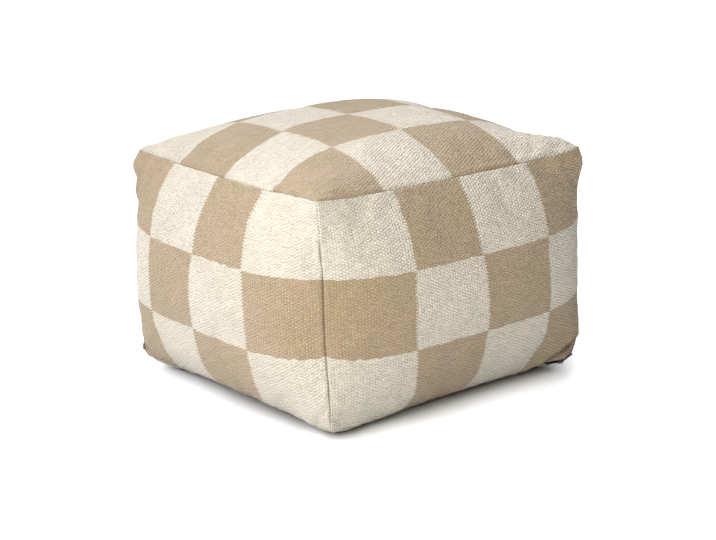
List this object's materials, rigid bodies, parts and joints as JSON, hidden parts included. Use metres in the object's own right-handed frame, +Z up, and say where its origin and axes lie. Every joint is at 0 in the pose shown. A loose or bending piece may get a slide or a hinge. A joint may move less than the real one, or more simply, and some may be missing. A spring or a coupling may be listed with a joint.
{
  "type": "cube pouf stool",
  "caption": "Low square pouf stool: a filled woven wool cube with a crowned top, bulging sides, sewn corner ears and a zip along its base seam.",
  "frame": {"origin": "on the floor, under the middle of the pouf's box", "axes": "+Z up; the two side panels seen in the picture face -Y (right) and -X (left), so the nearest corner is at (-X, -Y)"},
  "size_m": [0.5916, 0.5916, 0.4087],
  "materials": {
    "wool_cover": "weft-faced woven wool in cream and tan checks, matt",
    "zip_tape": "black woven zip tape",
    "zip_nylon": "black nylon coil",
    "zip_slider": "black enamelled metal",
    "zip_pull": "worn silver metal"
  },
  "bodies": {
    "root": {"pouf_body": "wool_cover", "zip_tape": "zip_tape", "zip_end_stop": "zip_tape", "zip_teeth": "zip_nylon", "zip_slider": "zip_slider", "zip_pull": "zip_pull"}
  },
  "joints": []
}
